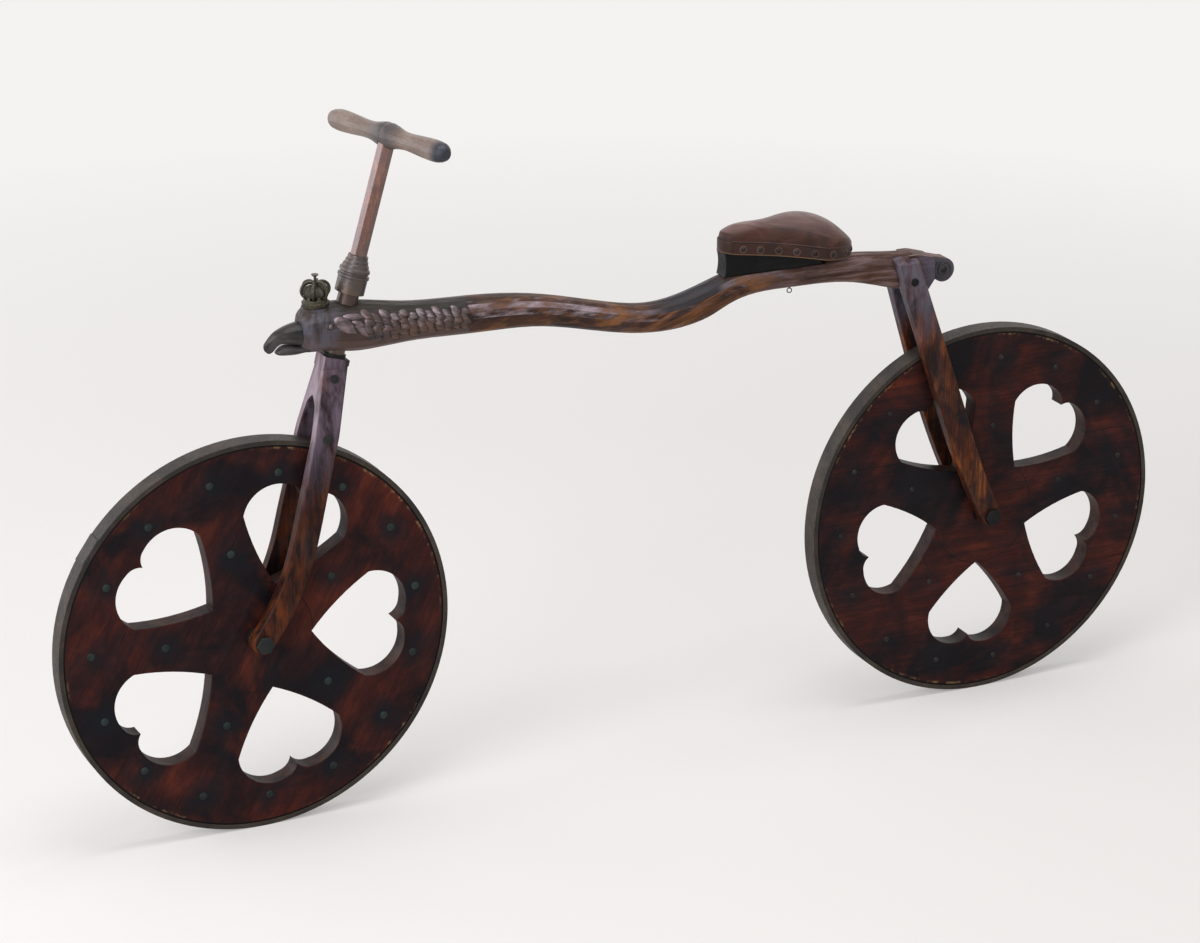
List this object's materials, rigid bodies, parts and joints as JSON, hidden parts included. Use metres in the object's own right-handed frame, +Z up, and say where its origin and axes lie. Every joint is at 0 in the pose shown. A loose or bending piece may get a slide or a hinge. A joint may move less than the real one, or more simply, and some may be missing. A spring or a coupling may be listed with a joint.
{
  "type": "wooden running machine with two wheels in line",
  "caption": "Foot-pushed wooden two-wheeler: heart-pierced disc wheels, a carved bird-headed backbone, raked fork with tee handle, and a leather saddle.",
  "frame": {"origin": "top of the saddle, where the rider sits", "axes": "+X forward, +Y to the rider's left, +Z up"},
  "size_m": [1.8429, 0.2616, 1.0577],
  "materials": {
    "carved_wood": "worn satin varnish",
    "dark_wood": "dark satin",
    "black_wood": "black satin",
    "leg_wood": "worn satin varnish",
    "stem_wood": "glossy varnish",
    "handle_wood": "hand-worn satin",
    "wheel_wood": "worn satin varnish",
    "bronze": "dark aged bronze",
    "iron": "blackened",
    "dark_iron": "dark aged",
    "tyre_iron": "dull worn",
    "leather": "worn semi-gloss"
  },
  "bodies": {
    "frame": {"backbone": "carved_wood", "beak": "dark_wood", "crown": "bronze", "saddle_block": "black_wood", "saddle_board": "black_wood", "saddle_leather": "leather", "rear_leg_left": "leg_wood", "rear_leg_right": "leg_wood", "rear_bolts": "iron", "rear_axle": "iron", "rear_axle_nut": "iron"},
    "steering": {"fork_crown": "leg_wood", "fork_leg_left": "leg_wood", "fork_leg_right": "leg_wood", "fork_bolts": "iron", "steering_post": "stem_wood", "steering_washer": "iron", "ferrule": "dark_iron", "stem": "stem_wood", "handle": "handle_wood", "front_axle": "iron", "front_axle_nut": "iron"},
    "front_wheel": {"front_disc": "wheel_wood", "front_tyre": "tyre_iron", "front_hub": "iron"},
    "rear_wheel": {"rear_disc": "wheel_wood", "rear_tyre": "tyre_iron", "rear_hub": "iron"}
  },
  "joints": [
    {"name": "steering", "type": "hinge", "parent": "frame", "child": "steering", "pos_m": [0.75911, 0, -0.11161], "axis": [-0.279, 0, 0.9603], "range_deg": [-45, 45]},
    {"name": "front_wheel_spin", "type": "hinge", "parent": "steering", "child": "front_wheel", "pos_m": [0.89714, 0, -0.53061], "axis": [0, 1, 0], "continuous": true},
    {"name": "rear_wheel_spin", "type": "hinge", "parent": "frame", "child": "rear_wheel", "pos_m": [-0.33586, 0, -0.53061], "axis": [0, 1, 0], "continuous": true}
  ]
}
